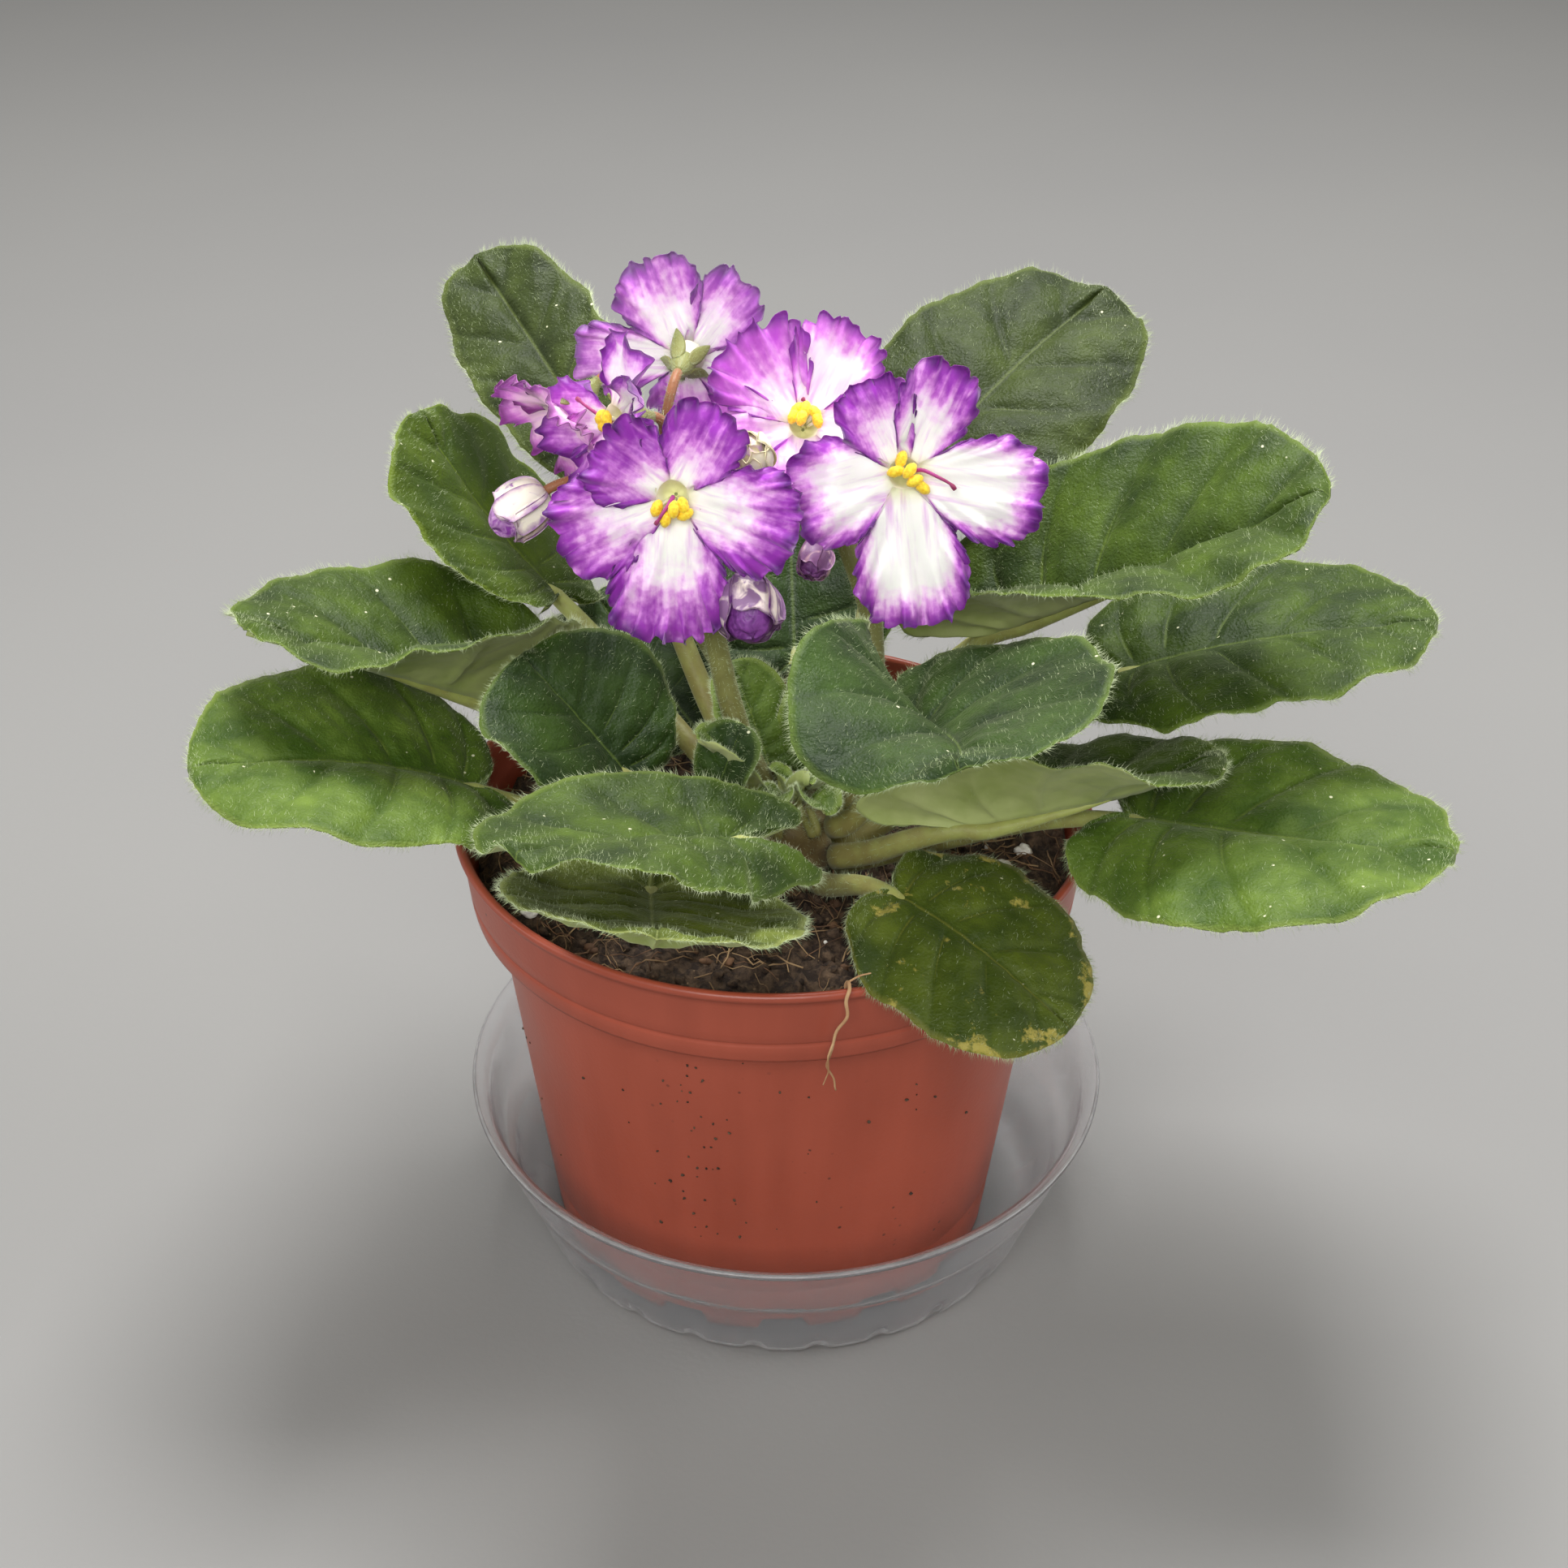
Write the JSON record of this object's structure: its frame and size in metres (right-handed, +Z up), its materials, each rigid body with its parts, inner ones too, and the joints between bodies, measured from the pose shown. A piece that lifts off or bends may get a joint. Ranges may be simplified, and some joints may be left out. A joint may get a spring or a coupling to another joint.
{
  "type": "potted african violet",
  "caption": "African violet with a rosette of hairy round leaves and ruffled violet and white flowers, in a tapered round plastic pot standing in a clear saucer.",
  "frame": {"origin": "on the underside of the saucer, where the pot's axis meets the surface it stands on", "axes": "+Z up along the pot's axis, -Y towards the front of the plant, +X to its right"},
  "size_m": [0.2239, 0.1756, 0.1878],
  "materials": {
    "pot_plastic": "satin",
    "saucer_plastic": "gloss",
    "peat": "matte",
    "crown": "matte",
    "leaf": "matte",
    "stalk": "matte",
    "pedicel": "matte",
    "petal": "matte",
    "petal_fading": "matte",
    "pollen": "matte",
    "bud": "matte",
    "root_fibre": "matte",
    "perlite": "matte"
  },
  "bodies": {
    "root": {"pot": "pot_plastic", "saucer": "saucer_plastic", "soil": "peat", "crown_stem": "crown", "leaf_back_left": "leaf", "leaf_back_right": "leaf", "leaf_upper_left": "leaf", "leaf_folded_left": "leaf", "leaf_low_left": "leaf", "leaf_inner_left": "leaf", "leaf_back_middle": "leaf", "leaf_back_low_left": "leaf", "leaf_heart": "leaf", "leaf_arched_front": "leaf", "leaf_low_front": "leaf", "leaf_over_rim": "leaf", "leaf_low_right": "leaf", "leaf_mid_right": "leaf", "leaf_upper_right": "leaf", "leaf_heart_right": "leaf", "leaf_edge_on_right": "leaf", "peduncle_left": "stalk", "peduncle_right": "stalk", "peduncle_back": "stalk", "corolla_front_right": "petal", "pedicel_front_right": "pedicel", "corolla_front_left": "petal", "pedicel_front_left": "pedicel", "corolla_middle_back": "petal", "pedicel_middle_back": "pedicel", "corolla_top_back": "petal", "pedicel_top_back": "pedicel", "corolla_behind_left": "petal", "pedicel_behind_left": "pedicel", "corolla_fading_left": "petal_fading", "pedicel_fading_left": "pedicel", "anthers_front_right": "pollen", "anthers_front_left": "pollen", "anthers_middle_back": "pollen", "anthers_behind_left": "pollen", "bud_round": "bud", "bud_cream": "bud", "bud_small": "bud", "bud_half_open": "bud", "hanging_root": "root_fibre", "perlite_1": "perlite", "perlite_2": "perlite", "perlite_3": "perlite", "perlite_4": "perlite", "perlite_5": "perlite"}
  },
  "joints": []
}
